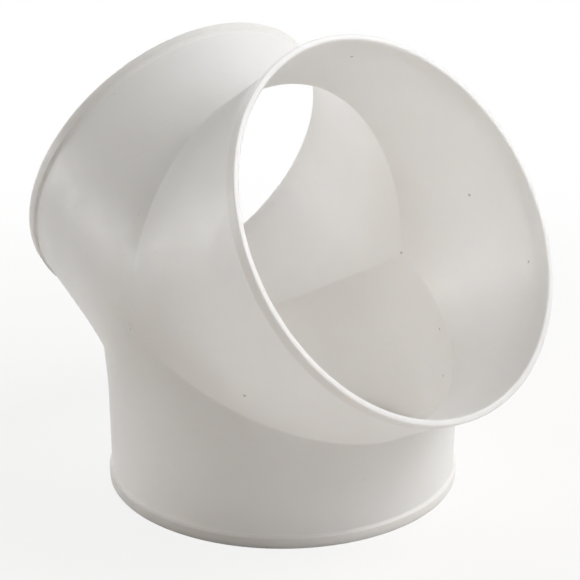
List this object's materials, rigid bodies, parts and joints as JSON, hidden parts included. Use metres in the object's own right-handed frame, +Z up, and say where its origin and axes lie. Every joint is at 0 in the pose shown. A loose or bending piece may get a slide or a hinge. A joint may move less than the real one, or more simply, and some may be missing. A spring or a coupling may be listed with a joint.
{
  "type": "duct splitter",
  "caption": "Three-way equal duct splitter moulded in one piece: round socket arms at equal angles, each with a narrow rim band.",
  "frame": {"origin": "centre of the bottom mouth, on the plane that the fitting stands on", "axes": "+Z up along the bottom arm, +X along the width in which the two upper arms spread, -Y towards the gate mark"},
  "size_m": [0.1498, 0.1058, 0.1299],
  "materials": {
    "white_plastic": "warm white moulded plastic, satin"
  },
  "bodies": {
    "root": {"splitter_body": "white_plastic"}
  },
  "joints": []
}
